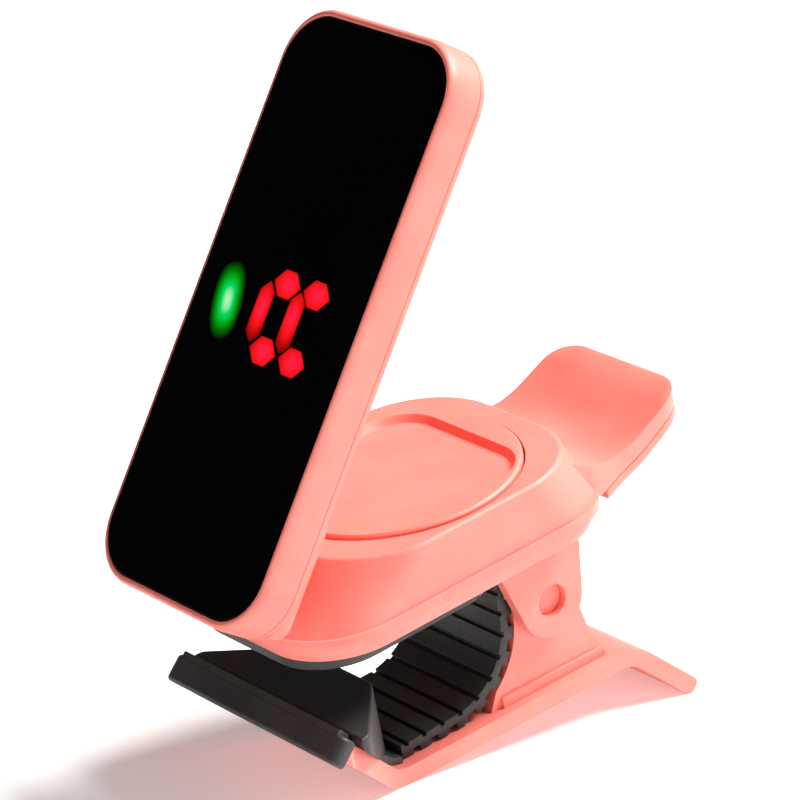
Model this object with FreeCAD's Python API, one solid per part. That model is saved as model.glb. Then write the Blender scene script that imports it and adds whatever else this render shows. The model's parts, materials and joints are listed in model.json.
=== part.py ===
import FreeCAD, Part
import math
import os

# Clip-on tuner.  Millimetres, +Z up, X across the clip, front (mouth and display) at -Y.
# The jaw frame has its origin on the battery platform, at the middle of the lid, with Y
# running back along the platform.  The clip stands on its lower jaw, so at the end every
# piece is pitched until the jaw's front bend and its handle touch the floor together.

V = FreeCAD.Vector

# ---- fits ----
sliding_gap = 0.10          # button, lugs and ears in their seats
lid_gap = 0.20              # all round the lid
running_gap = 0.04          # radial gap on pins and pivots
part_gap = 0.30             # between pieces that pass each other

# ---- battery housing ----
platform_half_width = 11.6
platform_front = -12.8
platform_rear = 12.9
platform_corner = 8.3
skirt_half_width = 11.8
skirt_front = -17.9
skirt_rear = 14.4
skirt_front_corner = 7.0
skirt_rear_corner = 6.5
housing_depth = 5.6         # platform down to the parting line
cover_thickness = 1.35
cover_inset = 0.55
step_height = 0.9           # shallow step that runs round the foot of the skirt
step_out = 0.25
platform_edge = 0.5         # rounding round the platform

# ---- thumb tab ----
tab_half_width = 7.8
tab_end = 25.3
tab_corner = 3.0
tab_root_half_width = 9.2    # the sides leave the corners of the housing this wide
tab_root = 13.2
tab_waist_half_width = 8.2
tab_waist = 16.9
tab_blend = 7.0
tab_groove_up = 0.75         # parting groove above the underside
tab_groove = 0.14
tab_dip = -3.35             # lowest line of the finger hollow
tab_dip_y = 15.4
tab_end_top = -0.55
tab_thickness = 2.2

# ---- coin cell and its lid ----
cell_radius = 10.0
cell_thickness = 3.2
cell_gap = 0.2
lid_overlap = 0.6           # the lid is this much wider than the well below it
lid_radius = cell_radius + cell_gap + lid_overlap
lid_proud = 0.35
lid_flange = 1.2
lid_skirt_radius = cell_radius + cell_gap - part_gap
lid_skirt_wall = 0.6
lid_skirt_depth = 0.8
lug_reach = 0.6
lug_height = 0.35
lug_half_angle = 13.0
lug_count = 3
lug_turn = 35.0             # twist that brings the lugs to their way out
panel_side_margin = 2.1
panel_end_margin = 2.6
panel_half_width = lid_radius - panel_side_margin
panel_half_length = lid_radius - panel_end_margin
panel_corner = 4.0
panel_depth = 0.6
panel_bevel = 0.5
cushion_gap = 1.3           # between the cushion and the lid's skirt
cushion_radius = lid_skirt_radius - lid_skirt_wall - cushion_gap
cushion_wall = 2.0

# ---- pivot ----
pivot_y = 8.4
pivot_z = -13.6
ear_half_width = 7.2        # over the outer faces of the upper ears
ear_radius = 3.25
ear_thickness = 1.1
ear_front_foot = 2.6        # where the front edge of the ear meets the cover
ear_rear_foot = 12.6
boss_radius = 1.4
boss_sunk = 0.7             # the stub ends this far below the face of the ear
lower_ear_radius = 2.9
lower_ear_thickness = 1.3
lower_ear_front_foot = 0.6
lower_ear_rear_foot = 13.2
ledge_front = 2.3
ledge_height = 0.7
ledge_width = 0.3
arbor_radius = 1.1
spring_wire = 0.7
spring_turns = 5
spring_leg = 6.2              # reach of the two legs from the middle of the coil

# ---- lower jaw ----
jaw_half_width = 7.2
bar_half_width = 11.6
jaw_thickness = 1.55
lip_y = -17.1
lip_z = -12.6
front_bend_y = -9.6
front_bend_z = -21.1
rear_bend_y = 16.2
rear_bend_z = -21.7
jaw_tip_y = 22.2
jaw_tip_z = -28.15
bend_radius = 3.0
flare_start = -16.7         # the bar keeps its full width in front of this line
flare_end = -9.9
flare_bend = 6.0

# ---- rubber ----
boot_skin = 0.6
boot_margin = 0.9           # the lining stops this far inside the edge of the bar
nose_depth = 1.4
nose_drop = 0.65            # the nose hangs this far below the bar
nose_corner = 0.9
nose_edge = 0.4
block_top = -13.5
block_front = -15.4
block_rear = -9.2
block_half_width = 11.6
block_rear_half_width = 5.0
liner_side_gap = 0.15
liner_half_width = ear_half_width - ear_thickness - liner_side_gap
liner_skin = 0.8
liner_front = -8.3
liner_bend_y = -2.6         # middle of the round throat
liner_bend = 6.3
liner_top = -8.6
rib_height = 0.5
rib_count = 11
rib_half = 0.6
groove_depth = 0.3
pad_half_width = 9.8
pad_front = -17.0
pad_rear = 0.6
pad_thickness = 1.65
pad_corner = 6.0
pad_step = 0.5
pad_rib_count = 7
pad_groove_margin = 2.0

# ---- cover screws, piezo and contacts ----
screw_head_radius = 1.1
screw_head_height = 0.6
screw_radius = 0.5
screw_length = 4.0
screw_x = 8.9
front_screw_x = 8.2
rear_screw_y = 9.4
front_screw_y = -13.0
piezo_radius = 5.0
piezo_thickness = 0.45
contact_thickness = 0.25
contact_half_width = 2.5

# ---- display ----
display_lean = 51.1         # above the platform
window_y = -8.3             # middle of the window, in the jaw frame
window_z = 18.3
window_half_width = 10.35
window_half_length = 23.95
window_corner = 4.3
window_thickness = 0.8
window_gap = 0.02
rim = 0.45
rim_fall = [(0.0, 0.34), (0.14, 0.19), (0.4, 0.07), (1.0, 0.0)]   # depth and inset of its round-over
case_depth = 4.2
case_wall = 0.9
back_thickness = 0.9
bulge_half_width = 9.4
bulge_bottom = -24.0
bulge_top = -13.6
bulge_depth = 1.7
bulge_corner = 1.5
board_thickness = 0.8
board_bottom = -14.0
button_half_width = 3.6
button_half_length = 2.2
button_flange = 0.5
button_up = 9.0
button_travel = 0.35
button_proud = 0.7
case_screw_x = 7.6
case_screw_up = 19.6
case_screw_low = -10.6

# ---- display hinge ----
hinge_up = -19.0            # along the window, from its middle
hinge_back = 4.6            # behind the window face
knuckle_radius = 1.5
knuckle_half_width = 3.0
washer_thickness = 0.4
hinge_pin_radius = 0.7
hinge_pin_half_length = 7.0
neck_thickness = 2.0


def box(x0, x1, y0, y1, z0, z1):
    return Part.makeBox(x1 - x0, y1 - y0, z1 - z0, V(x0, y0, z0))


def disc(radius, z0, z1, x=0.0, y=0.0):
    return Part.makeCylinder(radius, z1 - z0, V(x, y, z0))


def ring(outer, inner, z0, z1):
    return disc(outer, z0, z1).cut(disc(inner, z0 - 1, z1 + 1))


def cross_rod(radius, x0, x1, y, z):
    return Part.makeCylinder(radius, x1 - x0, V(x0, y, z), V(1, 0, 0))


def rounded_wire(half_width, y0, y1, front_corner, rear_corner, z):
    """Closed outline, round at its four corners, lying at height z."""
    edges = []
    corners = [(half_width, y0, front_corner, -90), (half_width, y1, rear_corner, 0),
               (-half_width, y1, rear_corner, 90), (-half_width, y0, front_corner, 180)]
    arcs = []
    for x, y, radius, start in corners:
        centre_x = x - math.copysign(radius, x)
        centre_y = y + radius if y == y0 else y - radius
        points = []
        for step in (0, 45, 90):
            angle = math.radians(start + step)
            points.append(V(centre_x + radius * math.cos(angle), centre_y + radius * math.sin(angle), z))
        arcs.append(points)
    for index, points in enumerate(arcs):
        edges.append(Part.Arc(*points).toShape())
        following = arcs[(index + 1) % 4]
        edges.append(Part.makeLine(points[2], following[0]))
    return Part.Wire(edges)


def prism(wire, height):
    return Part.Face(wire).extrude(V(0, 0, height))


def across(points, x0, x1):
    """A side outline in (y, z), given width along X."""
    corners = [V(x0, y, z) for y, z in points]
    corners.append(corners[0])
    return Part.Face(Part.makePolygon(corners)).extrude(V(x1 - x0, 0, 0))


def edges_across(shape, test):
    """Edges that run along X and whose (y, z) place passes the test."""
    found = []
    for edge in shape.Edges:
        box_ = edge.BoundBox
        if box_.XLength > 1.0 and box_.YLength < 0.01 and box_.ZLength < 0.01:
            if test(edge.CenterOfMass.y, edge.CenterOfMass.z):
                found.append(edge)
    return found


def flat_edges(shape):
    """Edges that lie level."""
    return [edge for edge in shape.Edges if edge.BoundBox.ZLength < 0.01]


def edges_at_depth(shape, depth):
    """Edges of a display piece that lie at one depth behind the window face."""
    found = []
    for edge in shape.Edges:
        if edge.BoundBox.YLength < 0.01 and abs(edge.BoundBox.YMax - depth) < 0.05:
            found.append(edge)
    return found


def place_on_display(shape):
    """From the display's own frame (X, depth, up the window) to the jaw frame."""
    moved = shape.copy()
    moved.rotate(V(0, 0, 0), V(1, 0, 0), display_lean - 90)
    moved.translate(V(0, window_y, window_z))
    return moved


def display_point(up, back):
    lean = math.radians(display_lean)
    y = window_y + up * math.cos(lean) + back * math.sin(lean)
    z = window_z + up * math.sin(lean) - back * math.cos(lean)
    return y, z


# ---- battery housing ----

def skirt():
    foot = rounded_wire(skirt_half_width, skirt_front, skirt_rear, skirt_front_corner, skirt_rear_corner,
                        -housing_depth + step_height)
    top = rounded_wire(platform_half_width, platform_front, platform_rear, platform_corner,
                       platform_corner, 0)
    body = Part.makeLoft([foot, top], True, True)
    step = rounded_wire(skirt_half_width + step_out, skirt_front - step_out, skirt_rear + step_out,
                        skirt_front_corner, skirt_rear_corner, -housing_depth)
    body = body.fuse(prism(step, step_height)).removeSplitter()
    top_edges = [edge for edge in flat_edges(body) if abs(edge.BoundBox.ZMax) < 0.01]
    return body.makeFillet(platform_edge, top_edges)


def tab_top_points():
    """Finger hollow of the thumb tab, from the housing back to the tip."""
    x = -tab_root_half_width
    return [V(x, platform_rear - 2.4, -0.9), V(x, tab_dip_y - 1.2, tab_dip + 0.45),
            V(x, tab_dip_y + 0.8, tab_dip), V(x, 19.0, tab_dip + 0.4), V(x, 22.0, tab_dip + 1.7),
            V(x, tab_end, tab_end_top)]


def tab_plan(inset):
    """Plan of the tab: wide root, slightly drawn-in waist and round-cornered end."""
    side = [(tab_root_half_width, 0), (tab_root_half_width, tab_root), (tab_waist_half_width, tab_waist),
            (tab_half_width, tab_end)]
    side = [(x - inset, y - inset) for x, y in side]
    points = [V(x, y, -20) for x, y in side] + [V(-x, y, -20) for x, y in reversed(side)]
    points.append(points[0])
    plan = Part.Face(Part.makePolygon(points)).extrude(V(0, 0, 40))
    upright = [edge for edge in plan.Edges if edge.BoundBox.ZLength > 30]
    bends = []
    for edge in upright:
        y = edge.CenterOfMass.y + inset
        if min(abs(y - tab_root), abs(y - tab_waist)) < 0.01:
            bends.append(edge)
    plan = plan.makeFillet(tab_blend, bends)
    upright = [edge for edge in plan.Edges if edge.BoundBox.ZLength > 30]
    end = [edge for edge in upright if abs(edge.CenterOfMass.y - tab_end + inset) < 0.01]
    return plan.makeFillet(tab_corner - inset, end)


def tab_side(curve_points, drop):
    """Smooth side line of the tab through the points, raised by drop."""
    curve = Part.BSplineCurve()
    curve.interpolate([V(point.x, point.y, point.z + drop) for point in curve_points])
    return curve


def tab_under_points():
    x = -tab_root_half_width
    drop = tab_thickness
    return [V(x, tab_end, tab_end_top - drop), V(x, 22.4, tab_dip + 1.7 - drop),
            V(x, 19.6, tab_dip + 0.4 - drop), V(x, tab_dip_y + 1.6, tab_dip - 0.4 - drop),
            V(x, platform_rear + 1.0, -housing_depth - 0.9)]


def thumb_tab():
    upper = Part.BSplineCurve()
    upper.interpolate(tab_top_points())
    under = tab_under_points()
    lower = tab_side(under, 0)
    top_end, top_root = tab_top_points()[-1], tab_top_points()[0]
    front_low = V(under[-1].x, top_root.y, -housing_depth)
    edges = [upper.toShape(), Part.makeLine(top_end, under[0]), lower.toShape(),
             Part.makeLine(under[-1], front_low), Part.makeLine(front_low, top_root)]
    body = Part.Face(Part.Wire(edges)).extrude(V(2 * tab_root_half_width, 0, 0))
    body = body.common(tab_plan(0))
    groove_low, groove_high = tab_side(under, tab_groove_up), tab_side(under, tab_groove_up + tab_groove)
    ends = []
    for at in (groove_low.FirstParameter, groove_low.LastParameter):
        ends.append(Part.makeLine(groove_low.value(at), groove_high.value(at)))
    band = Part.Face(Part.Wire(Part.__sortEdges__([groove_low.toShape(), groove_high.toShape()] + ends)))
    band = band.extrude(V(2 * tab_root_half_width, 0, 0))
    body = body.cut(band.cut(tab_plan(tab_groove)))
    below_cover = box(-20, 20, 0, skirt_rear + part_gap, -20, -housing_depth)
    return body.cut(below_cover)


def hinge_neck():
    """Lug on the front of the housing that carries the display."""
    y, z = display_point(hinge_up, hinge_back)
    knuckle = cross_rod(knuckle_radius, -knuckle_half_width, knuckle_half_width, y, z)
    lean = math.radians(display_lean)
    back_y, back_z = math.sin(lean), -math.cos(lean)
    up_y, up_z = math.cos(lean), math.sin(lean)
    half = neck_thickness / 2
    reach = 6.0
    points = [(y + up_y * half, z + up_z * half), (y - up_y * half, z - up_z * half),
              (y - up_y * half + back_y * reach, z - up_z * half + back_z * reach),
              (y + up_y * half + back_y * reach, z + up_z * half + back_z * reach)]
    neck = across(points, -knuckle_half_width, knuckle_half_width)
    lug = knuckle.fuse(neck)
    bore = cross_rod(hinge_pin_radius + running_gap, -20, 20, y, z)
    return lug.cut(bore).removeSplitter()


def lid_seat():
    flange_floor = lid_proud - lid_flange
    seat = disc(lid_radius + lid_gap, flange_floor, 5)
    well = disc(cell_radius + cell_gap, -housing_depth - 1, 5)
    lug_top = flange_floor - lug_height
    groove_radius = lid_skirt_radius + lug_reach + 2 * sliding_gap
    groove = disc(groove_radius, lug_top - lug_height - sliding_gap, lug_top + sliding_gap)
    cut = seat.fuse(well).fuse(groove)
    for index in range(lug_count):
        slot = lug(index, sliding_gap, lug_turn).common(disc(30, lug_top - lug_height, flange_floor + 0.1))
        cut = cut.fuse(slot)
    return cut


def lug(index, grow, turn):
    """One bayonet lug, or with grow the way in for it."""
    half = math.radians(lug_half_angle) + 2 * grow / lid_skirt_radius
    middle = math.radians(360.0 / lug_count * index + turn)
    reach = lid_skirt_radius + lug_reach + grow
    corners = [V(0, 0, -3.0)]
    for step in (-1, 0, 1):
        angle = middle + step * half
        corners.append(V(2 * reach * math.cos(angle), 2 * reach * math.sin(angle), -3.0))
    corners.append(corners[0])
    wedge = Part.Face(Part.makePolygon(corners)).extrude(V(0, 0, 4.0))
    return wedge.common(ring(reach, lid_skirt_radius - lid_skirt_wall, -3.0, 1.0))


def make_battery_housing():
    body = skirt().fuse(thumb_tab())
    neck = hinge_neck().cut(box(-20, 20, -13.0, 20, -20, 20))
    body = body.fuse(neck).cut(lid_seat())
    bay = box(-7.0, 7.0, -14.6, -11.0, -housing_depth - 1, -3.0)
    contact_bay = box(-contact_half_width - 0.3, contact_half_width + 0.3, cell_radius - 0.5,
                      cell_radius + 0.7, -housing_depth - 1, -1.6)
    body = body.cut(bay).cut(contact_bay)
    for x, y in cover_screw_places():
        body = body.cut(disc(screw_radius, -housing_depth - 1, screw_top(), x, y))
    return body.removeSplitter()


# ---- bottom cover with the outer ears ----

def cover_bottom():
    return -housing_depth - cover_thickness


def screw_top():
    return cover_bottom() + screw_length


def cover_screw_places():
    places = []
    for side in (-1, 1):
        places.append((side * screw_x, rear_screw_y))
        places.append((side * front_screw_x, front_screw_y))
    return places


def ear_outline(radius, front_foot, rear_foot, foot_z):
    """Side outline of an ear: two edges that close in on a round end at the pivot."""
    points = [(front_foot, foot_z)]
    start, stop = (188, 355) if foot_z > pivot_z else (165, 15)
    steps = 14
    for index in range(steps + 1):
        angle = math.radians(start + (stop - start) * index / steps)
        points.append((pivot_y + radius * math.cos(angle), pivot_z + radius * math.sin(angle)))
    points.append((rear_foot, foot_z))
    return points


def make_bottom_cover():
    top = rounded_wire(skirt_half_width, skirt_front, skirt_rear, skirt_front_corner, skirt_rear_corner,
                       -housing_depth)
    low = rounded_wire(skirt_half_width - cover_inset, skirt_front + cover_inset, skirt_rear - cover_inset,
                       skirt_front_corner - cover_inset, skirt_rear_corner - cover_inset, cover_bottom())
    body = Part.makeLoft([low, top], True, True)
    groove = prism(rounded_wire(skirt_half_width + 1, skirt_front - 1, skirt_rear + 1, skirt_front_corner + 1,
                                skirt_rear_corner + 1, -housing_depth - tab_groove), tab_groove)
    core = prism(rounded_wire(skirt_half_width - tab_groove, skirt_front + tab_groove,
                              skirt_rear - tab_groove, skirt_front_corner - tab_groove,
                              skirt_rear_corner - tab_groove, -housing_depth - tab_groove), tab_groove)
    body = body.cut(groove.cut(core))
    for side in (-1, 1):
        x0 = side * ear_half_width
        x1 = side * (ear_half_width - ear_thickness)
        outline = ear_outline(ear_radius, ear_front_foot, ear_rear_foot, -housing_depth - 0.4)
        ear = across(outline, min(x0, x1), max(x0, x1))
        body = body.fuse(ear)
    body = body.cut(cross_rod(boss_radius + running_gap, -20, 20, pivot_y, pivot_z))
    pocket = disc(piezo_radius + 0.2, cover_bottom() + 0.6, 0)
    tray = box(-contact_half_width - 0.3, contact_half_width + 0.3, -8.0, cell_radius + 0.7,
               -housing_depth - contact_thickness, 0)
    body = body.cut(pocket).cut(tray)
    for x, y in cover_screw_places():
        body = body.cut(disc(screw_radius + sliding_gap, -20, 0, x, y))
        body = body.cut(disc(screw_head_radius + sliding_gap, -20, cover_bottom() + screw_head_height, x, y))
    return body.removeSplitter()


def make_cover_screws():
    screws = []
    for x, y in cover_screw_places():
        head = disc(screw_head_radius, cover_bottom(), cover_bottom() + screw_head_height, x, y)
        shank = disc(screw_radius, cover_bottom(), screw_top(), x, y)
        slot = box(x - 0.8, x + 0.8, y - 0.15, y + 0.15, cover_bottom() - 1, cover_bottom() + 0.25)
        cross = box(x - 0.15, x + 0.15, y - 0.8, y + 0.8, cover_bottom() - 1, cover_bottom() + 0.25)
        screws.append(head.fuse(shank).cut(slot).cut(cross).removeSplitter())
    return Part.makeCompound(screws)


def make_upper_pad():
    top = cover_bottom()
    low = top - pad_thickness
    sheet = prism(rounded_wire(pad_half_width, pad_front, pad_rear, pad_corner, 1.2, low + pad_step),
                  pad_thickness - pad_step)
    step = prism(rounded_wire(pad_half_width - pad_step, pad_front + pad_step, pad_rear - pad_step,
                              pad_corner - pad_step, 1.0, low), pad_step + 0.1)
    pad = sheet.fuse(step).removeSplitter()
    first = pad_front + pad_corner
    pitch = (pad_rear - 1.5 - first) / (pad_rib_count - 1)
    for index in range(pad_rib_count):
        y = first + pitch * index
        groove_reach = pad_half_width - pad_groove_margin
        pad = pad.cut(box(-groove_reach, groove_reach, y - 0.2, y + 0.2, low - 1, low + groove_depth))
    return pad


# ---- battery, lid, contacts, piezo ----

def cell_bottom():
    return -housing_depth + 0.5


def make_coin_cell():
    can = disc(cell_radius, cell_bottom() + 0.35, cell_bottom() + cell_thickness)
    can = can.makeFillet(0.25, flat_edges(can))
    button = disc(cell_radius - 1.2, cell_bottom(), cell_bottom() + 0.5)
    return can.fuse(button).removeSplitter()


def make_battery_lid():
    top = lid_proud
    plate = disc(lid_radius, top - lid_flange, top)
    plate = plate.makeChamfer(0.2, [edge for edge in flat_edges(plate) if abs(edge.BoundBox.ZMax - top) < 0.01])
    floor = rounded_wire(panel_half_width - panel_bevel, -panel_half_length + panel_bevel,
                         panel_half_length - panel_bevel, panel_corner - panel_bevel,
                         panel_corner - panel_bevel, top - panel_depth)
    mouth = rounded_wire(panel_half_width, -panel_half_length, panel_half_length, panel_corner, panel_corner,
                         top + 0.01)
    lid = plate.cut(Part.makeLoft([floor, mouth], True, True))
    mark = box(-panel_half_width - 0.9, -panel_half_width - 0.3, -0.8, 0.8, top - 0.15, top + 1)
    lid = lid.cut(mark)
    under = top - lid_flange
    lid = lid.fuse(ring(lid_skirt_radius, lid_skirt_radius - lid_skirt_wall, under - lid_skirt_depth, under))
    for index in range(lug_count):
        slab = ring(30, 1, under - 2 * lug_height, under - lug_height)
        lid = lid.fuse(lug(index, 0.0, 0.0).common(slab))
    return lid.removeSplitter()


def make_lid_cushion():
    top = lid_proud - lid_flange
    return ring(cushion_radius, cushion_radius - cushion_wall, cell_bottom() + cell_thickness, top)


def make_positive_contact():
    y0 = cell_radius
    upright = box(-contact_half_width, contact_half_width, y0, y0 + contact_thickness, -housing_depth, -2.0)
    foot = box(-contact_half_width, contact_half_width, y0, y0 + 0.6, -housing_depth - contact_thickness,
               -housing_depth)
    return upright.fuse(foot).removeSplitter()


def make_negative_contact():
    low = -housing_depth - contact_thickness
    strip = box(-contact_half_width, contact_half_width, -7.8, 7.8, low, -housing_depth)
    tongue = box(-1.2, 1.2, -5.0, 1.0, -housing_depth, cell_bottom())
    return strip.fuse(tongue).removeSplitter()


def make_piezo_sensor():
    low = cover_bottom() + 0.6
    brass = disc(piezo_radius, low, low + 0.2)
    ceramic = disc(piezo_radius - 1.2, low + 0.2, low + piezo_thickness)
    return brass.fuse(ceramic).removeSplitter()


# ---- lower jaw ----

def jaw_line(start=0.0):
    """Upper face of the bent bar in (y, z), from a distance behind the lip to the handle's tip."""
    run = math.hypot(front_bend_y - lip_y, front_bend_z - lip_z)
    way_y, way_z = (front_bend_y - lip_y) / run, (front_bend_z - lip_z) / run
    first = (lip_y + way_y * start, lip_z + way_z * start)
    return [first, (front_bend_y, front_bend_z), (rear_bend_y, rear_bend_z), (jaw_tip_y, jaw_tip_z)]


def offset_line(points, distance):
    """The same bent line, moved down by a distance square to each run."""
    runs = []
    for (y0, z0), (y1, z1) in zip(points[:-1], points[1:]):
        length = math.hypot(y1 - y0, z1 - z0)
        down_y, down_z = (z1 - z0) / length, -(y1 - y0) / length
        way = ((y1 - y0) / length, (z1 - z0) / length)
        runs.append(((y0 + down_y * distance, z0 + down_z * distance), way))
    moved = [runs[0][0]]
    for (start_a, way_a), (start_b, way_b) in zip(runs[:-1], runs[1:]):
        cross = way_a[0] * way_b[1] - way_a[1] * way_b[0]
        gap_y, gap_z = start_b[0] - start_a[0], start_b[1] - start_a[1]
        along = (gap_y * way_b[1] - gap_z * way_b[0]) / cross
        moved.append((start_a[0] + way_a[0] * along, start_a[1] + way_a[1] * along))
    last_start, last_way = runs[-1]
    length = math.hypot(points[-1][0] - points[-2][0], points[-1][1] - points[-2][1])
    moved.append((last_start[0] + last_way[0] * length, last_start[1] + last_way[1] * length))
    return moved


def near(corner):
    return lambda y, z: math.hypot(y - corner[0], z - corner[1]) < 0.05


def bent_strip(top_distance, bottom_distance, half_width, start, round_tip):
    """Strip that follows the bent bar between two depths below its upper face."""
    top = offset_line(jaw_line(start), top_distance)
    bottom = offset_line(jaw_line(start), bottom_distance)
    strip = across(top + bottom[::-1], -half_width, half_width)
    thickness = bottom_distance - top_distance
    inner = edges_across(strip, near(top[1])) + edges_across(strip, near(bottom[2]))
    strip = strip.makeFillet(bend_radius, inner)
    outer = edges_across(strip, near(bottom[1])) + edges_across(strip, near(top[2]))
    strip = strip.makeFillet(bend_radius + thickness, outer)
    if round_tip:
        tip = edges_across(strip, near(top[3])) + edges_across(strip, near(bottom[3]))
        strip = strip.makeFillet(thickness * 0.42, tip)
    return strip


def jaw_plan(inset):
    """Plan outline: wide bar in front, narrow handle behind, joined by a slanting flare."""
    wide, narrow = bar_half_width - inset, jaw_half_width - inset
    side = [(wide, -40), (wide, flare_start), (narrow, flare_end), (narrow, jaw_tip_y + 5)]
    points = [V(x, y, -40) for x, y in side] + [V(-x, y, -40) for x, y in reversed(side)]
    points.append(points[0])
    plan = Part.Face(Part.makePolygon(points)).extrude(V(0, 0, 40))
    bends = []
    for edge in plan.Edges:
        if edge.BoundBox.ZLength > 30 and abs(edge.CenterOfMass.y - flare_end) < 0.01:
            bends.append(edge)
    return plan.makeFillet(flare_bend, bends)


def lower_ear_outer():
    return ear_half_width - ear_thickness - sliding_gap


def jaw_bar():
    return bent_strip(0, jaw_thickness, bar_half_width, nose_depth, True).common(jaw_plan(0))


def make_lower_jaw():
    body = jaw_bar()
    outer = lower_ear_outer()
    foot_z = front_bend_z - 1.2
    liner_reach = liner_bend + liner_skin + rib_height + sliding_gap
    for side in (-1, 1):
        x0 = side * outer
        x1 = side * (outer - lower_ear_thickness)
        outline = ear_outline(lower_ear_radius, lower_ear_front_foot, lower_ear_rear_foot, foot_z)
        ear = across(outline, min(x0, x1), max(x0, x1))
        above_bar = ear.cut(jaw_bar()).cut(cross_rod(liner_reach, -20, 20, liner_bend_y, liner_bend_z()))
        body = body.fuse(above_bar)
        x2 = side * (outer + ledge_width)
        ledge_top = front_bend_z + ledge_height
        ledge_rear = lower_ear_rear_foot + 0.3
        ledge = [(ledge_front, foot_z), (ledge_front, ledge_top), (ledge_rear, ledge_top - 0.4),
                 (ledge_rear, foot_z)]
        body = body.fuse(across(ledge, min(x0, x2), max(x0, x2)))
        stub_end = side * (ear_half_width - boss_sunk)
        body = body.fuse(cross_rod(boss_radius, min(x1, stub_end), max(x1, stub_end), pivot_y, pivot_z))
    reach = outer - part_gap
    return body.cut(cross_rod(arbor_radius, -reach, reach, pivot_y, pivot_z)).removeSplitter()


def make_spring_arbor():
    reach = lower_ear_outer() - part_gap
    return cross_rod(arbor_radius, -reach, reach, pivot_y, pivot_z)


def make_torsion_spring():
    """Coil on the arbor, with one leg down to the handle and one up behind the cover."""
    coil_radius = arbor_radius + 0.25 + spring_wire / 2
    pitch = spring_wire + 0.12
    width = spring_turns * pitch
    helix = Part.makeHelix(pitch, width, coil_radius)
    profile = Part.Wire(Part.makeCircle(spring_wire / 2, V(coil_radius, 0, 0), V(0, 1, 0)))
    spring = Part.Wire(helix).makePipeShell([profile], True, True)
    low_leg = Part.makeCylinder(spring_wire / 2, spring_leg, V(coil_radius, -0.6, 0), V(0, 1, 0))
    high_leg = Part.makeCylinder(spring_wire / 2, spring_leg, V(coil_radius, -0.6, width), V(0, 1, 0))
    high_leg.rotate(V(0, 0, 0), V(0, 0, 1), 35)
    spring = spring.fuse(low_leg).fuse(high_leg)
    spring.rotate(V(0, 0, 0), V(0, 1, 0), 90)
    spring.rotate(V(0, 0, 0), V(1, 0, 0), -4)
    spring.translate(V(-width / 2, pivot_y, pivot_z))
    return spring


# ---- rubber of the lower jaw ----

def make_lip_boot():
    """Rubber shoe on the end of the bar: nose, lining of the slope and a flat-topped block."""
    skin = bent_strip(-boot_skin, 0, bar_half_width, 0, False).common(jaw_plan(boot_margin))
    skin = skin.common(box(-20, 20, -40, liner_front - part_gap, -40, 0))
    lip = jaw_line()[0]
    inner = jaw_line(nose_depth)[0]
    run_y, run_z = (lip[0] - inner[0]) / nose_depth, (lip[1] - inner[1]) / nose_depth
    below = jaw_thickness + nose_drop
    above = boot_skin * 0.4
    corners = []
    for along, down in ((0, -above), (0, below), (nose_depth, below), (nose_depth, -above)):
        corners.append((inner[0] + run_y * along - run_z * down, inner[1] + run_z * along + run_y * down))
    nose = across(corners, -bar_half_width - sliding_gap, bar_half_width + sliding_gap)
    middle_y, middle_z = (corners[2][0] + corners[3][0]) / 2, (corners[2][1] + corners[3][1]) / 2
    ends = []
    for edge in nose.Edges:
        centre = edge.CenterOfMass
        if edge.BoundBox.XLength < 0.01 and near((middle_y, middle_z))(centre.y, centre.z):
            ends.append(edge)
    nose = nose.makeFillet(nose_corner, ends)
    front = edges_across(nose, near(corners[2])) + edges_across(nose, near(corners[3]))
    nose = nose.makeFillet(nose_edge, front)
    return skin.fuse(nose).fuse(wedge_block()).cut(jaw_bar()).removeSplitter()


def wedge_block():
    """Solid block behind the lip; its flat top is the lower jaw face."""
    plan = [V(block_half_width, block_front, -40), V(block_half_width, block_front + 0.8, -40),
            V(block_rear_half_width, block_rear, -40), V(-block_rear_half_width, block_rear, -40),
            V(-block_half_width, block_front + 0.8, -40), V(-block_half_width, block_front, -40)]
    plan.append(plan[0])
    block = Part.Face(Part.makePolygon(plan)).extrude(V(0, 0, 40 + block_top))
    upright = []
    for edge in block.Edges:
        if edge.BoundBox.ZLength > 10 and edge.CenterOfMass.y > block_front + 0.1:
            upright.append(edge)
    block = block.makeFillet(0.9, upright)
    top = [edge for edge in block.Edges if edge.BoundBox.ZMin > block_top - 0.01]
    block = block.makeFillet(0.25, top)
    lip = jaw_line()[0]
    under = [(lip[0] - 8, lip[1] + 8 * 1.15), (lip[0], lip[1]), (front_bend_y, front_bend_z),
             (20, front_bend_z), (20, -60), (lip[0] - 8, -60)]
    return block.cut(across(under, -30, 30))


def liner_bend_z():
    return front_bend_z + rib_height + liner_skin + liner_bend


def liner_line(distance):
    """Side line of the throat liner at a distance outside its inner face."""
    radius = liner_bend + distance
    low = liner_bend_z() - radius
    corner = math.sqrt(0.5) * radius
    flat = Part.makeLine(V(0, liner_front, low), V(0, liner_bend_y, low))
    bend = Part.Arc(V(0, liner_bend_y, low), V(0, liner_bend_y + corner, liner_bend_z() - corner),
                    V(0, liner_bend_y + radius, liner_bend_z())).toShape()
    rise = Part.makeLine(V(0, liner_bend_y + radius, liner_bend_z()), V(0, liner_bend_y + radius, liner_top))
    return [flat, bend, rise]


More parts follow.
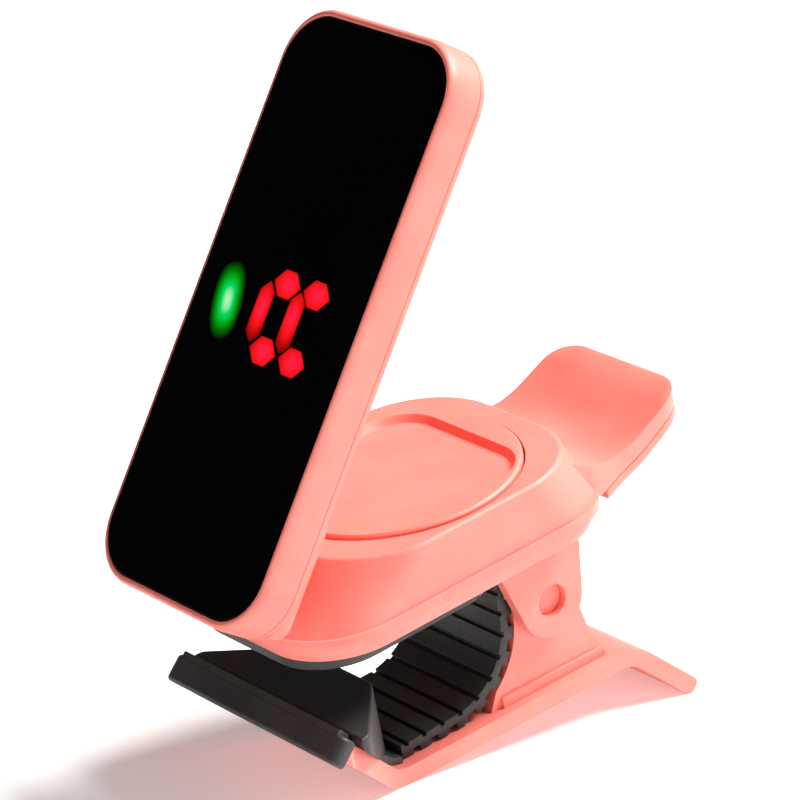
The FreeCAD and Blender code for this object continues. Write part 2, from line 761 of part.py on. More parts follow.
def liner_stations(count, margin):
    """Evenly spaced places along the liner as (y, z, outward y, outward z)."""
    flat = liner_bend_y - liner_front
    bend = math.pi / 2 * liner_bend
    rise = liner_top - liner_bend_z()
    total = flat + bend + rise - 2 * margin
    places = []
    for index in range(count):
        along = margin + total * index / (count - 1)
        if along < flat:
            places.append((liner_front + along, liner_bend_z() - liner_bend, 0.0, -1.0))
        elif along < flat + bend:
            angle = (along - flat) / liner_bend
            out_y, out_z = math.sin(angle), -math.cos(angle)
            places.append((liner_bend_y + liner_bend * out_y, liner_bend_z() + liner_bend * out_z, out_y, out_z))
        else:
            places.append((liner_bend_y + liner_bend, liner_bend_z() + along - flat - bend, 1.0, 0.0))
    return places


def rung(place, half, out0, out1, half_width):
    """Short bar across the liner, between two distances outside its inner face."""
    y, z, out_y, out_z = place
    corners = []
    for along, out in ((-half, out0), (half, out0), (half, out1), (-half, out1)):
        corners.append((y - out_z * along + out_y * out, z + out_y * along + out_z * out))
    return across(corners, -half_width, half_width)


def make_throat_liner():
    """Springy rubber channel with cross grooves inside and square teeth outside."""
    inner = liner_line(0)
    outer = liner_line(liner_skin)
    front = Part.makeLine(outer[0].Vertexes[0].Point, inner[0].Vertexes[0].Point)
    back = Part.makeLine(inner[2].Vertexes[1].Point, outer[2].Vertexes[1].Point)
    outline = Part.Wire(Part.__sortEdges__(inner + [back] + outer + [front]))
    body = Part.Face(outline).extrude(V(2 * liner_half_width, 0, 0))
    body.translate(V(-liner_half_width, 0, 0))
    for place in liner_stations(rib_count, 0.6):
        body = body.fuse(rung(place, rib_half, liner_skin * 0.6, liner_skin + rib_height, liner_half_width))
    for place in liner_stations(rib_count, 0.6):
        body = body.cut(rung(place, 0.22, -0.2, groove_depth, liner_half_width + 1))
    return body.removeSplitter()


# ---- display ----

def outline_up(half_width, half_length, corner, depth):
    """Rounded outline standing in the display's frame, at a depth behind the window face."""
    wire = rounded_wire(half_width, -half_length, half_length, corner, corner, 0)
    wire.rotate(V(0, 0, 0), V(1, 0, 0), 90)
    wire.translate(V(0, depth, 0))
    return wire


def slab(half_width, half_length, corner, back0, back1):
    return Part.Face(outline_up(half_width, half_length, corner, back0)).extrude(V(0, back1 - back0, 0))


def case_half_width():
    return window_half_width + rim


def case_half_length():
    return window_half_length + rim + 0.25


def make_display_case():
    """Front shell: rim round the window, side walls, ledge that the window sits on."""
    shell = slab(case_half_width(), case_half_length(), window_corner + rim, rim_fall[-1][0],
                 case_depth - back_thickness)
    for (depth0, inset0), (depth1, inset1) in zip(rim_fall[:-1], rim_fall[1:]):
        outlines = []
        for depth, inset in ((depth0, inset0), (depth1, inset1)):
            outlines.append(outline_up(case_half_width() - inset, case_half_length() - inset,
                                       window_corner + rim - inset, depth))
        shell = shell.fuse(Part.makeLoft(outlines, True, True))
    seat = slab(window_half_width + window_gap, window_half_length + window_gap, window_corner + window_gap,
                -1, window_thickness)
    inner = slab(case_half_width() - case_wall, case_half_length() - case_wall, window_corner - 0.5,
                 -1, case_depth)
    return shell.cut(seat).cut(inner).removeSplitter()


def make_display_back():
    """Back shell with the swelling at its foot that houses the hinge."""
    plate = slab(case_half_width(), case_half_length(), window_corner + rim, case_depth - back_thickness,
                 case_depth)
    plate = plate.makeFillet(back_thickness * 0.85, edges_at_depth(plate, case_depth))
    low, high = bulge_bottom, bulge_top
    bulge = box(-bulge_half_width, bulge_half_width, case_depth - 0.3, case_depth + bulge_depth, low, high)
    upright = [edge for edge in bulge.Edges if edge.BoundBox.YLength > 1.5]
    bulge = bulge.makeFillet(bulge_corner, upright)
    back_edges = [edge for edge in bulge.Edges if edge.BoundBox.YMin > case_depth + bulge_depth - 0.05]
    bulge = bulge.makeFillet(bulge_depth * 0.7, back_edges)
    body = plate.fuse(bulge)
    reach = knuckle_half_width + washer_thickness
    clear = knuckle_radius + part_gap
    cheek_front = hinge_back - clear - 0.7
    saddle = box(-reach - 1.4, reach + 1.4, cheek_front, case_depth, hinge_up - clear - 0.6,
                 hinge_up + clear + 0.6)
    body = body.fuse(saddle)
    slot = cross_rod(clear, -reach, reach, hinge_back, hinge_up)
    slot = slot.fuse(box(-reach, reach, hinge_back, 20, -60, hinge_up + clear + 2.6))
    body = body.cut(slot).cut(cross_rod(hinge_pin_radius, -hinge_pin_half_length, hinge_pin_half_length,
                                        hinge_back, hinge_up))
    opening = box(-button_half_width - sliding_gap, button_half_width + sliding_gap, 0, 20,
                  button_up - button_half_length - sliding_gap, button_up + button_half_length + sliding_gap)
    body = body.cut(opening)
    for x, up in case_screw_places():
        body = body.cut(across_depth(screw_radius + sliding_gap, 0, 20, x, up))
        body = body.cut(across_depth(screw_head_radius * 0.8 + sliding_gap, case_depth - 0.5, 20, x, up))
    return body.removeSplitter()


def across_depth(radius, back0, back1, x, up):
    return Part.makeCylinder(radius, back1 - back0, V(x, back0, up), V(0, 1, 0))


def case_screw_places():
    places = []
    for side in (-1, 1):
        places.append((side * case_screw_x, case_screw_up))
        places.append((side * case_screw_x, case_screw_low))
    return places


def make_case_screws():
    screws = []
    for x, up in case_screw_places():
        head = across_depth(screw_head_radius * 0.8, case_depth - 0.5, case_depth, x, up)
        shank = across_depth(screw_radius, board_back() + 0.05, case_depth, x, up)
        slot = box(x - 0.55, x + 0.55, case_depth - 0.2, case_depth + 1, up - 0.12, up + 0.12)
        cross = box(x - 0.12, x + 0.12, case_depth - 0.2, case_depth + 1, up - 0.55, up + 0.55)
        screws.append(head.fuse(shank).cut(slot).cut(cross).removeSplitter())
    return Part.makeCompound(screws)


def make_display_window():
    pane = slab(window_half_width, window_half_length, window_corner, 0.05, window_thickness)
    return pane.makeChamfer(0.12, edges_at_depth(pane, 0.05))


def board_front():
    return window_thickness + 0.95


def board_back():
    return board_front() + board_thickness


def make_circuit_board():
    half = case_half_width() - case_wall - 0.25
    board = box(-half, half, board_front(), board_back(), board_bottom, case_half_length() - case_wall - 0.4)
    tall = [edge for edge in board.Edges if edge.BoundBox.YLength > 0.5 and edge.CenterOfMass.z > 0]
    return board.makeFillet(3.6, tall)


# Seven bars of a digit that lies on its side: (x, up, along the window or across it).
digit_pitch = 4.0
digit_x = 2.4
digit_half_up = 2.7
bar_half_length = 2.1
bar_half_thickness = 0.62


def bar(x, up, along_up):
    """One six-sided bar, long way up the window or across it."""
    long_way, short_way = bar_half_length, bar_half_thickness
    if not along_up:
        long_way = digit_pitch / 2 - 0.35
    tip = short_way
    half = [(0, long_way), (short_way, long_way - tip), (short_way, -long_way + tip), (0, -long_way),
            (-short_way, -long_way + tip), (-short_way, long_way - tip)]
    points = []
    for a, b in half:
        where = (x + a, up + b) if along_up else (x + b, up + a)
        points.append(V(where[0], window_thickness + 0.12, where[1]))
    points.append(points[0])
    return Part.Face(Part.makePolygon(points)).extrude(V(0, 0.7, 0))


def lit_bars():
    bars = [bar(digit_x - digit_pitch, 0, True), bar(digit_x, 0, True)]
    for up in (-digit_half_up, digit_half_up):
        bars.append(bar(digit_x - digit_pitch / 2, up, False))
        bars.append(bar(digit_x + digit_pitch / 2, up, False))
    return bars


def dark_bar():
    return bar(digit_x + digit_pitch, 0, True)


def make_digit_reflector():
    block = box(digit_x - digit_pitch - 1.4, digit_x + digit_pitch + 1.4, window_thickness + 0.1,
                board_front(), -digit_half_up - 1.4, digit_half_up + 1.4)
    for piece in lit_bars() + [dark_bar()]:
        block = block.cut(piece)
    return block


def led_chip(x, up, half_x, half_up):
    return box(x - half_x, x + half_x, board_front() - 0.6, board_front(), up - half_up, up + half_up)


meter_led_step = 3.4
green_led_x = -6.0


def make_green_led():
    return led_chip(green_led_x, 0, 0.8, 1.5)


def make_meter_leds():
    leds = []
    for side in (-1, 1):
        for index in range(1, 5):
            leds.append(led_chip(green_led_x, side * (1.4 + meter_led_step * index), 0.6, 0.8))
    return Part.makeCompound(leds)


def make_power_button():
    """Cap with a flange that keeps it in, hollow over the switch."""
    inner_face = case_depth - back_thickness - 0.05
    cap = box(-button_half_width, button_half_width, inner_face - 0.3, case_depth + button_proud,
              button_up - button_half_length, button_up + button_half_length)
    tall = [edge for edge in cap.Edges if edge.BoundBox.YLength > 0.5]
    cap = cap.makeFillet(1.4, tall)
    rear = [edge for edge in cap.Edges if edge.BoundBox.YMin > case_depth + button_proud - 0.05]
    cap = cap.makeFillet(0.3, rear)
    reach_x, reach_up = button_half_width + button_flange, button_half_length + button_flange
    flange = box(-reach_x, reach_x, inner_face - 0.3, inner_face, button_up - reach_up, button_up + reach_up)
    hollow = box(-2.0, 2.0, 0, switch_top() + button_travel + 0.05, button_up - 1.6, button_up + 1.6)
    return cap.fuse(flange).cut(hollow).removeSplitter()


def switch_top():
    return board_back() + 0.55


def make_power_switch():
    base = box(-1.7, 1.7, board_back(), board_back() + 0.35, button_up - 1.4, button_up + 1.4)
    dome = across_depth(0.8, board_back() + 0.35, switch_top(), 0, button_up)
    return base.fuse(dome).removeSplitter()


def make_tuner_chip():
    return box(-3.5, 3.5, board_back(), board_back() + 0.6, -4.5, 2.5)


def make_crystal():
    can = box(5.2, 7.2, board_back(), board_back() + 0.6, -2.4, 2.4)
    tall = [edge for edge in can.Edges if edge.BoundBox.YLength > 0.5]
    return can.makeFillet(0.9, tall)


def make_capacitors():
    parts = []
    for index in range(5):
        up = -8.6 + 2.4 * index
        parts.append(box(-7.6, -6.4, board_back(), board_back() + 0.5, up, up + 0.8))
    return Part.makeCompound(parts)


def make_hinge_pin():
    return cross_rod(hinge_pin_radius, -hinge_pin_half_length, hinge_pin_half_length, hinge_back, hinge_up)


def make_hinge_washers():
    washers = []
    for x0 in (-knuckle_half_width - washer_thickness, knuckle_half_width):
        outer = cross_rod(knuckle_radius, x0, x0 + washer_thickness, hinge_back, hinge_up)
        washers.append(outer.cut(cross_rod(hinge_pin_radius, -20, 20, hinge_back, hinge_up)))
    return Part.makeCompound(washers)


jaw_pieces = {
    "lower_jaw": make_lower_jaw,
    "lip_boot": make_lip_boot,
    "throat_liner": make_throat_liner,
    "spring_arbor": make_spring_arbor,
    "torsion_spring": make_torsion_spring,
    "battery_housing": make_battery_housing,
    "bottom_cover": make_bottom_cover,
    "cover_screws": make_cover_screws,
    "upper_pad": make_upper_pad,
    "coin_cell": make_coin_cell,
    "battery_lid": make_battery_lid,
    "lid_cushion": make_lid_cushion,
    "positive_contact": make_positive_contact,
    "negative_contact": make_negative_contact,
    "piezo_sensor": make_piezo_sensor,
}

display_pieces = {
    "display_case": make_display_case,
    "display_back": make_display_back,
    "display_window": make_display_window,
    "circuit_board": make_circuit_board,
    "digit_reflector": make_digit_reflector,
    "digit_bars_lit": lambda: Part.makeCompound(lit_bars()),
    "digit_bar_dark": dark_bar,
    "green_led": make_green_led,
    "meter_leds": make_meter_leds,
    "power_button": make_power_button,
    "power_switch": make_power_switch,
    "tuner_chip": make_tuner_chip,
    "crystal": make_crystal,
    "capacitors": make_capacitors,
    "case_screws": make_case_screws,
    "hinge_pin": make_hinge_pin,
    "hinge_washers": make_hinge_washers,
}


def level_pitch(jaw):
    """Pitch at which the front bend and the end of the handle touch the floor together."""
    front = jaw.common(box(-30, 30, -60, 0, -60, 0))
    handle = jaw.common(box(-30, 30, rear_bend_y, 60, -60, 0))
    low, high = 0.0, 40.0
    for _ in range(20):
        middle = (low + high) / 2
        lowest = []
        for end in (front, handle):
            posed = end.copy()
            posed.rotate(V(0, 0, 0), V(1, 0, 0), middle)
            lowest.append(posed.optimalBoundingBox().ZMin)
        if lowest[1] > lowest[0]:
            high = middle
        else:
            low = middle
    return middle


shapes = {name: make() for name, make in jaw_pieces.items()}
for name, make in display_pieces.items():
    shapes[name] = place_on_display(make())

pitch = level_pitch(shapes["lower_jaw"])
for shape in shapes.values():
    shape.rotate(V(0, 0, 0), V(1, 0, 0), pitch)
whole = Part.makeCompound(list(shapes.values())).optimalBoundingBox()
to_floor = V(-(whole.XMin + whole.XMax) / 2, -(whole.YMin + whole.YMax) / 2, -whole.ZMin)

os.makedirs("parts", exist_ok=True)
for name, shape in shapes.items():
    shape.translate(to_floor)
    shape.exportStep("parts/" + name + ".step")
    print(name, "solids", len(shape.Solids), "volume", round(shape.Volume, 2), "valid", shape.isValid())
print("pitched by", pitch, "moved by", to_floor)
print("overall", whole.XLength, whole.YLength, whole.ZLength)
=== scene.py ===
import json
import math

import bmesh
import bpy
from mathutils import Matrix, Vector


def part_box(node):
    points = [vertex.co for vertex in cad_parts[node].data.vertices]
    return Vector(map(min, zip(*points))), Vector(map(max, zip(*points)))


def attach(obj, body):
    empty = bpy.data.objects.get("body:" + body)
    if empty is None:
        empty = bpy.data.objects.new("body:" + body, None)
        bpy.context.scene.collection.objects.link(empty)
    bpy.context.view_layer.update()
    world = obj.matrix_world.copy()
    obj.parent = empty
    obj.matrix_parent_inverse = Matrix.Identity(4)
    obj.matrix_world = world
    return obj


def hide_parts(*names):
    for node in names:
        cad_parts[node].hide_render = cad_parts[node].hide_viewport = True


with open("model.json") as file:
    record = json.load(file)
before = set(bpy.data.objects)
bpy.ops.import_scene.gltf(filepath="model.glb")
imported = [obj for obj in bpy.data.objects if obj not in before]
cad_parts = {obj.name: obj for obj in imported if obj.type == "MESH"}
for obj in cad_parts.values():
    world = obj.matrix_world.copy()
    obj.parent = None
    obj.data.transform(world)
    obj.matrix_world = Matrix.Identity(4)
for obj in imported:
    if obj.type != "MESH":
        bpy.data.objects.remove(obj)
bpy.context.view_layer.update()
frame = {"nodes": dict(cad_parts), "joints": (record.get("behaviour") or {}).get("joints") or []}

nodes = frame["nodes"]
joints = {joint["name"]: joint for joint in frame["joints"]}
mm = 0.001

# ---------------------------------------------------------------- studio
# A pale sweep of seamless paper with three soft boxes round it, the strongest above and behind,
# and a long lens looking down on the clip's mouth and its right cheek.

bpy.context.scene.view_settings.view_transform = "Standard"

lid_centre = Vector(joints["lid_twist"]["pos_m"])
camera_azimuth = math.radians(52.42)
camera_elevation = math.radians(18.72)
camera_roll = math.radians(-0.51)
camera_distance = 351.3 * mm
look_at = lid_centre + Vector((-1.2, 1.7, 5.8)) * mm

back = Vector((math.sin(camera_azimuth) * math.cos(camera_elevation),
               -math.cos(camera_azimuth) * math.cos(camera_elevation), math.sin(camera_elevation)))
camera = bpy.data.objects.new("camera", bpy.data.cameras.new("camera"))
bpy.context.scene.collection.objects.link(camera)
camera.data.lens = 192.8
camera.data.sensor_width = 36.0
camera.location = look_at + back * camera_distance
turn = (-back).to_track_quat("-Z", "Y").to_matrix() @ Matrix.Rotation(camera_roll, 3, "Z")
camera.rotation_euler = turn.to_euler()
bpy.context.scene.camera = camera


def soft_box(name, place, width, power, tint):
    """Round soft box of a width in metres and a power in watts, turned to the clip."""
    light = bpy.data.lights.new(name, "AREA")
    light.shape = "DISK"
    light.size = width
    light.energy = power
    light.color = tint
    lamp = bpy.data.objects.new(name, light)
    bpy.context.scene.collection.objects.link(lamp)
    lamp.location = place
    lamp.rotation_euler = (look_at - Vector(place)).to_track_quat("-Z", "Y").to_euler()


soft_box("top_box", (0.12, 0.33, 0.52), 0.34, 9.5, (1.0, 0.99, 0.97))
soft_box("cheek_box", (0.62, 0.14, 0.20), 0.36, 0.85, (1.0, 0.98, 0.97))
soft_box("front_box", (0.20, -0.60, 0.42), 0.30, 0.05, (1.0, 1.0, 1.0))

world = bpy.data.worlds.new("studio")
world.use_nodes = True
world.node_tree.nodes["Background"].inputs["Color"].default_value = (1.0, 1.0, 1.0, 1.0)
world.node_tree.nodes["Background"].inputs["Strength"].default_value = 0.08
bpy.context.scene.world = world


def new_material(name):
    """A fresh node material with its tree, its shader and object coordinates ready to wire."""
    material = bpy.data.materials.new(name)
    material.use_nodes = True
    tree = material.node_tree
    shader = tree.nodes["Principled BSDF"]
    place = tree.nodes.new("ShaderNodeTexCoord").outputs["Object"]
    return material, tree, shader, place


def grain(tree, place, scale, detail=3.0):
    """Noise of a given number of grains to the metre."""
    noise = tree.nodes.new("ShaderNodeTexNoise")
    noise.inputs["Scale"].default_value = scale
    noise.inputs["Detail"].default_value = detail
    tree.links.new(place, noise.inputs["Vector"])
    return noise.outputs["Fac"]


def ramp(tree, factor, stops):
    """Colour ramp from (position, colour) stops."""
    node = tree.nodes.new("ShaderNodeValToRGB")
    elements = node.color_ramp.elements
    while len(elements) < len(stops):
        elements.new(0.5)
    for element, (position, colour) in zip(elements, stops):
        element.position = position
        element.color = (*colour, 1.0)
    tree.links.new(factor, node.inputs["Fac"])
    return node.outputs["Color"]


def bump(tree, shader, height, distance, strength, under=None):
    """Fine relief on the shader's normal, on top of a coarser relief if one is given."""
    node = tree.nodes.new("ShaderNodeBump")
    node.inputs["Distance"].default_value = distance
    node.inputs["Strength"].default_value = strength
    tree.links.new(height, node.inputs["Height"])
    if under is not None:
        tree.links.new(under, node.inputs["Normal"])
    tree.links.new(node.outputs["Normal"], shader.inputs["Normal"])
    return node.outputs["Normal"]


def grey(value):
    return (value, value, value)


paper, tree, shader, place = new_material("seamless_paper")
fibre = ramp(tree, grain(tree, place, 900), [(0.3, grey(0.90)), (0.7, grey(0.94))])
tree.links.new(fibre, shader.inputs["Base Color"])
shader.inputs["Roughness"].default_value = 0.9
shader.inputs["Emission Color"].default_value = (1.0, 1.0, 1.0, 1.0)
shader.inputs["Emission Strength"].default_value = 0.3
bump(tree, shader, grain(tree, place, 4000), 0.02 * mm, 0.3)

sweep = bmesh.new()
half_floor = 3.0
corners = []
for side_x, side_y in ((-1, -1), (1, -1), (1, 1), (-1, 1)):
    corners.append(sweep.verts.new((side_x * half_floor, side_y * half_floor, 0)))
sweep.faces.new(corners)
floor_mesh = bpy.data.meshes.new("floor")
sweep.to_mesh(floor_mesh)
floor = bpy.data.objects.new("floor", floor_mesh)
bpy.context.scene.collection.objects.link(floor)
floor_mesh.materials.append(paper)

# ---------------------------------------------------------------- lower jaw
# The clip's bent bar with its handle and its two inner ears, one injection moulding in coral
# plastic. The tool is spark-eroded, which leaves the fine even grain on every outer face.


def coral_plastic(name):
    """Coral resin: a faint cloud in the colour, satin grain, and a little light let in."""
    material, tree, shader, place = new_material(name)
    cloud = grain(tree, place, 240, 4.0)
    base = (0.88, 0.205, 0.165)
    pale = (0.92, 0.235, 0.19)
    tree.links.new(ramp(tree, cloud, [(0.35, base), (0.65, pale)]), shader.inputs["Base Color"])
    fine = grain(tree, place, 5200, 2.0)
    tree.links.new(ramp(tree, fine, [(0.3, grey(0.42)), (0.7, grey(0.56))]), shader.inputs["Roughness"])
    shader.inputs["Specular IOR Level"].default_value = 0.42
    shader.inputs["Subsurface Weight"].default_value = 0.12
    shader.inputs["Subsurface Radius"].default_value = (1.0, 0.35, 0.25)
    shader.inputs["Subsurface Scale"].default_value = 0.8 * mm
    coarse = bump(tree, shader, grain(tree, place, 1700, 2.0), 0.02 * mm, 0.35)
    bump(tree, shader, fine, 0.012 * mm, 0.7, coarse)
    return material


def dress(name, material, edge=0.12, angle=32.0):
    """Gives a CAD node its finish, softens its moulded edges and smooths its round faces."""
    piece = nodes[name]
    piece.data.materials.clear()
    piece.data.materials.append(material)
    weld = piece.modifiers.new("weld", "WELD")
    weld.merge_threshold = 0.002 * mm
    if edge:
        soften = piece.modifiers.new("soften", "BEVEL")
        soften.width = edge * mm
        soften.segments = 2
        soften.limit_method = "ANGLE"
        soften.angle_limit = math.radians(angle)
    even = piece.modifiers.new("even", "WEIGHTED_NORMAL")
    even.mode = "FACE_AREA_WITH_ANGLE"
    even.weight = 90
    piece.data.polygons.foreach_set("use_smooth", [True] * len(piece.data.polygons))


coral = coral_plastic("coral_moulded")
dress("lower_jaw", coral)

# ---------------------------------------------------------------- lip boot
# Black thermoplastic rubber moulded over the bar's lip: a round nose to nudge the headstock, a
# groove behind it, and the flat-topped block that bears on the wood. Satin, with a dusty bloom.


def black_rubber(name, low, high):
    """Dark moulded rubber or plastic between two greys, with a bloom and a fine grain."""
    material, tree, shader, place = new_material(name)
    bloom = grain(tree, place, 320, 5.0)
    tree.links.new(ramp(tree, bloom, [(0.35, grey(low)), (0.7, grey(high))]), shader.inputs["Base Color"])
    fine = grain(tree, place, 4200, 3.0)
    tree.links.new(ramp(tree, fine, [(0.3, grey(0.44)), (0.7, grey(0.62))]), shader.inputs["Roughness"])
    shader.inputs["Specular IOR Level"].default_value = 0.5
    shader.inputs["Sheen Weight"].default_value = 0.08
    bump(tree, shader, fine, 0.015 * mm, 0.6)
    return material


rubber = black_rubber("black_rubber", 0.014, 0.030)
dress("lip_boot", rubber, 0.15)

# ---------------------------------------------------------------- throat liner
# The ribbed rubber channel that closes round the headstock: cross grooves inside for grip and
# square teeth outside to let it flex. Glued by its foot to the bar.

liner_rubber = black_rubber("liner_rubber", 0.004, 0.010)
dress("throat_liner", liner_rubber, 0.08)

# ---------------------------------------------------------------- spring and its arbor
# A close-wound torsion spring in bright piano wire on a steel arbor that bridges the stubs of
# the lower jaw. Drawing marks run along the wire.


def bright_steel(name, tint, rough):
    """Drawn or rolled metal of one tint, with marks that run along X."""
    material, tree, shader, place = new_material(name)
    streak = tree.nodes.new("ShaderNodeMapping")
    streak.inputs["Scale"].default_value = (1.0, 14.0, 14.0)
    tree.links.new(place, streak.inputs["Vector"])
    marks = grain(tree, streak.outputs["Vector"], 700, 4.0)
    dull = [c * 0.86 for c in tint]
    tree.links.new(ramp(tree, marks, [(0.3, dull), (0.7, tint)]), shader.inputs["Base Color"])
    satin = ramp(tree, marks, [(0.3, grey(rough)), (0.7, grey(rough + 0.14))])
    tree.links.new(satin, shader.inputs["Roughness"])
    shader.inputs["Metallic"].default_value = 1.0
    bump(tree, shader, marks, 0.004 * mm, 0.5)
    return material


steel = bright_steel("bright_steel", (0.70, 0.70, 0.71), 0.22)
for name in ("torsion_spring", "spring_arbor"):
    dress(name, steel, 0.04)

# ---------------------------------------------------------------- upper jaw shells
# Battery housing with its thumb tab, and the cover below it that carries the outer ears. Both
# are coral mouldings from the same resin, drawn together by four screws from below.

dress("battery_housing", coral)
dress("bottom_cover", coral)
screw_steel = bright_steel("screw_steel", (0.55, 0.54, 0.52), 0.28)
dress("cover_screws", screw_steel, 0.04)

# ---------------------------------------------------------------- upper pad
# Moulded rubber sole under the upper jaw, stepped at its rim, with cross grooves for grip.

dress("upper_pad", rubber, 0.12)

# ---------------------------------------------------------------- cell, contacts and sensor
# A lithium coin cell between two sprung nickel contacts, and under them a brass sounding disc
# that hears the string through the clip.

cell_steel = bright_steel("cell_steel", (0.78, 0.78, 0.77), 0.16)
nickel = bright_steel("nickel_strip", (0.72, 0.69, 0.62), 0.20)
brass = bright_steel("brass_disc", (0.78, 0.57, 0.25), 0.24)
dress("coin_cell", cell_steel, 0.05)
dress("positive_contact", nickel, 0.03)
dress("negative_contact", nickel, 0.03)
dress("piezo_sensor", brass, 0.03)

# ---------------------------------------------------------------- battery lid
# Round bayonet lid in the same coral plastic with a sunk panel and a small index mark; a foam
# ring glued under it keeps the cell quiet.

dress("battery_lid", coral, 0.08)
foam = black_rubber("foam_ring", 0.03, 0.06)
dress("lid_cushion", foam, 0.05)

# ---------------------------------------------------------------- display shells
# Front case with a thin rim round the window, and the back shell whose swelling holds the
# hinge. Coral mouldings, clipped together and held by four small screws.

dress("display_case", coral)
dress("display_back", coral)
dress("case_screws", screw_steel, 0.04)
dress("hinge_pin", steel, 0.04)
nylon = black_rubber("nylon_washer", 0.05, 0.09)
dress("hinge_washers", nylon, 0.04)

# ---------------------------------------------------------------- window
# Polished acrylic pane, smoked almost black, so that only what is lit behind it shows. It drops
# into the front case flush with the rim.

smoked, tree, shader, place = new_material("smoked_acrylic")
smoke = ramp(tree, grain(tree, place, 60, 2.0), [(0.3, grey(0.0003)), (0.7, grey(0.0006))])
tree.links.new(smoke, shader.inputs["Base Color"])
polish = ramp(tree, grain(tree, place, 2600, 4.0), [(0.3, grey(0.07)), (0.7, grey(0.10))])
tree.links.new(polish, shader.inputs["Roughness"])
shader.inputs["Specular IOR Level"].default_value = 0.05
dress("display_window", smoked, 0.05)

# ---------------------------------------------------------------- circuit board and its parts
# Green glass-fibre board with dark moulded packages soldered on, behind the window. The digit's
# block is moulded black, with a hole for each bar, and stands on the board's face.

board, tree, shader, place = new_material("solder_resist")
tracks = tree.nodes.new("ShaderNodeTexBrick")
tracks.inputs["Scale"].default_value = 260
tracks.inputs["Color1"].default_value = (0.012, 0.10, 0.045, 1)
tracks.inputs["Color2"].default_value = (0.016, 0.13, 0.055, 1)
tracks.inputs["Mortar"].default_value = (0.05, 0.22, 0.09, 1)
tree.links.new(place, tracks.inputs["Vector"])
tree.links.new(tracks.outputs["Color"], shader.inputs["Base Color"])
shader.inputs["Roughness"].default_value = 0.35
bump(tree, shader, tracks.outputs["Fac"], 0.02 * mm, 0.5)
dress("circuit_board", board, 0.05)
package = black_rubber("moulded_package", 0.02, 0.035)
for name in ("tuner_chip", "capacitors", "power_switch", "digit_reflector"):
    dress(name, package, 0.05)
dress("crystal", cell_steel, 0.05)
unlit, tree, shader, place = new_material("unlit_diode")
resin = ramp(tree, grain(tree, place, 900), [(0.3, (0.05, 0.05, 0.045)), (0.7, (0.08, 0.08, 0.07))])
tree.links.new(resin, shader.inputs["Base Color"])
shader.inputs["Roughness"].default_value = 0.3
for name in ("meter_leds", "digit_bar_dark"):
    dress(name, unlit, 0.04)

# ---------------------------------------------------------------- power button
# Coral key in the back shell, held in by its flange and pressed with a fingertip against the
# switch on the board.

dress("power_button", coral, 0.06)

# ---------------------------------------------------------------- lit digit and green light
# Light as it comes through the smoked pane: six red bars of a digit that lies on its side, and
# one green diode beside it that says the string is in tune. Thin light plates on the pane.

window_low, window_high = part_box("display_window")
window_middle = (window_low + window_high) / 2
outward = Vector(joints["power_button"]["axis"]).normalized()
upward = Vector((0, outward.z, -outward.y))
glow_proud = 0.02
pane_front = max(vertex.co.dot(outward) for vertex in nodes["display_window"].data.vertices)
light_plane = window_middle + outward * (pane_front + glow_proud * mm - window_middle.dot(outward))


def on_window(x, up, depth=0.0):
    """A point on the pane from millimetres across and up it, and behind its light plane."""
    return light_plane + Vector((x * mm, 0, 0)) + upward * (up * mm) - outward * (depth * mm)


def glowing(name, middle, half_x, half_up, tilt, stops, edge):
    """Light that fades from its core to its rim, in an oval or a bar turned by tilt."""
    material, tree, shader, place = new_material(name)
    links = tree.links
    centre = on_window(*middle)
    local = tree.nodes.new("ShaderNodeVectorMath")
    local.operation = "SUBTRACT"
    local.inputs[1].default_value = centre
    links.new(place, local.inputs[0])
    along = upward * math.cos(tilt) + Vector((-math.sin(tilt), 0, 0))
    across = Vector((math.cos(tilt), 0, 0)) + upward * math.sin(tilt)
    squares = []
    for axis, reach in ((along, half_up), (across, half_x)):
        dot = tree.nodes.new("ShaderNodeVectorMath")
        dot.operation = "DOT_PRODUCT"
        dot.inputs[1].default_value = axis / (reach * mm)
        links.new(local.outputs["Vector"], dot.inputs[0])
        power_of = tree.nodes.new("ShaderNodeMath")
        power_of.operation = "POWER"
        power_of.inputs[1].default_value = edge
        size = tree.nodes.new("ShaderNodeMath")
        size.operation = "ABSOLUTE"
        links.new(dot.outputs["Value"], size.inputs[0])
        links.new(size.outputs[0], power_of.inputs[0])
        squares.append(power_of.outputs[0])
    total = tree.nodes.new("ShaderNodeMath")
    total.operation = "ADD"
    links.new(squares[0], total.inputs[0])
    links.new(squares[1], total.inputs[1])
    shade = ramp(tree, total.outputs[0], stops)
    links.new(shade, shader.inputs["Emission Color"])
    shader.inputs["Emission Strength"].default_value = 1.0
    unlit_face = ramp(tree, grain(tree, place, 3000), [(0.3, grey(0.0003)), (0.7, grey(0.0006))])
    links.new(unlit_face, shader.inputs["Base Color"])
    shader.inputs["Roughness"].default_value = 0.1
    shader.inputs["Specular IOR Level"].default_value = 0.05
    return material


def plate(name, outline, material, thickness=0.05):
    """Thin plate on the pane from an outline in millimetres."""
    mesh = bmesh.new()
    face = mesh.faces.new([mesh.verts.new(on_window(x, up, thickness)) for x, up in outline])
    raised = bmesh.ops.extrude_face_region(mesh, geom=[face])
    for item in raised["geom"]:
        if isinstance(item, bmesh.types.BMVert):
            item.co += outward * thickness * mm
    bmesh.ops.recalc_face_normals(mesh, faces=mesh.faces)
    data = bpy.data.meshes.new(name)
    mesh.to_mesh(data)
    piece = bpy.data.objects.new(name, data)
    bpy.context.scene.collection.objects.link(piece)
    data.materials.append(material)
    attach(piece, "display_head")
    return piece


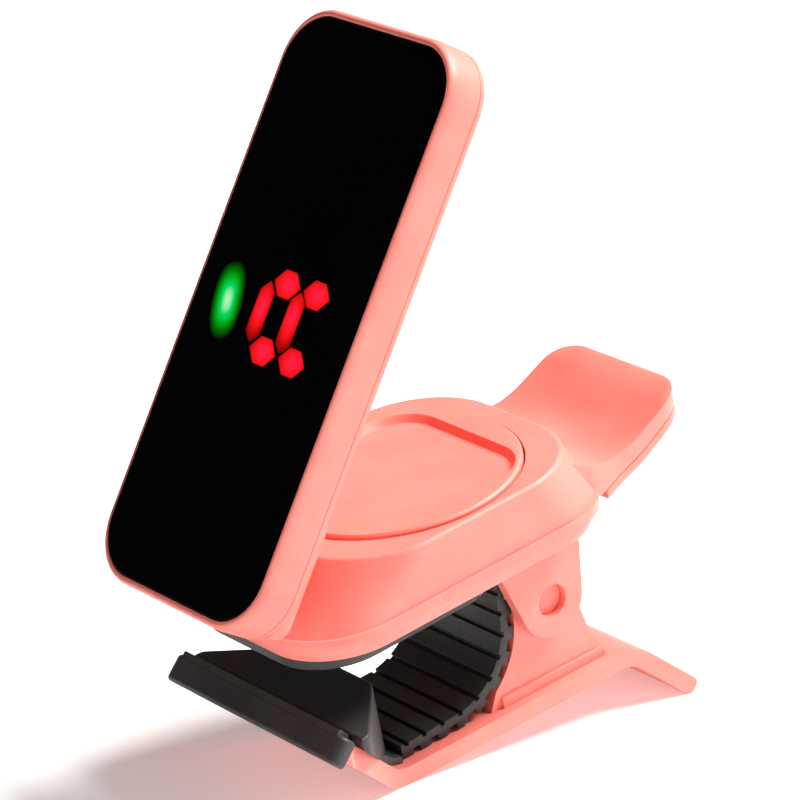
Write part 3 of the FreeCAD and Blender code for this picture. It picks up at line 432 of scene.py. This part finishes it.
def bar_outline(x, up, half_long, half_short, upright):
    """Six-sided bar with pointed ends."""
    tip = half_short * 0.9
    shoulder = half_long - tip
    half = [(0, half_long), (half_short, shoulder), (half_short, -shoulder), (0, -half_long),
            (-half_short, -shoulder), (-half_short, shoulder)]
    return [(x + a, up + b) if upright else (x + b, up + a) for a, b in half]


red_stops = [(0.0, (1.0, 0.014, 0.06)), (0.18, (1.0, 0.007, 0.012)), (0.5, (0.52, 0.002, 0.003)),
             (1.0, (0.05, 0.0, 0.0))]
round_fall = 2.0
long_bars = [(-1.6, -0.15), (2.4, -0.15)]
short_bars = [(0.42, 2.62), (4.25, 2.62), (0.38, -3.02), (4.22, -3.02)]
for index, (x, up) in enumerate(long_bars):
    red = glowing("red_long_%d" % index, (x, up + 0.35), 1.5, 3.0, 0.0, red_stops, round_fall)
    plate("lit_bar_%d" % index, bar_outline(x, up, 2.6, 0.92, True), red)
for index, (x, up) in enumerate(short_bars):
    red = glowing("red_short_%d" % index, (x + 0.2, up), 2.5, 2.0, 0.0, red_stops, round_fall)
    plate("lit_segment_%d" % index, bar_outline(x, up, 1.7, 1.12, False), red)
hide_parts("digit_bars_lit")

green_middle = (-6.0, -0.24)
green_tilt = math.radians(13)
green_stops = [(0.0, (0.40, 0.90, 0.48)), (0.03, (0.20, 0.80, 0.30)), (0.08, (0.0, 0.70, 0.12)),
               (0.26, (0.0, 0.40, 0.01)), (0.50, (0.0, 0.17, 0.0)), (0.74, (0.0, 0.05, 0.0)),
               (0.95, grey(0.0))]
green_half_x = 1.95
green_half_up = 3.3
green_fall = 2.4
green = glowing("green_glow", green_middle, green_half_x, green_half_up, green_tilt, green_stops,
                green_fall)
oval = []
oval_steps = 48
oval_power = 2 / green_fall
for step in range(oval_steps):
    angle = math.tau * step / oval_steps
    along = green_half_up * math.copysign(abs(math.cos(angle)) ** oval_power, math.cos(angle))
    aside = green_half_x * math.copysign(abs(math.sin(angle)) ** oval_power, math.sin(angle))
    oval.append((green_middle[0] - along * math.sin(green_tilt) + aside * math.cos(green_tilt),
                 green_middle[1] + along * math.cos(green_tilt) + aside * math.sin(green_tilt)))
glow = plate("green_light", oval, green)
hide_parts("green_led")
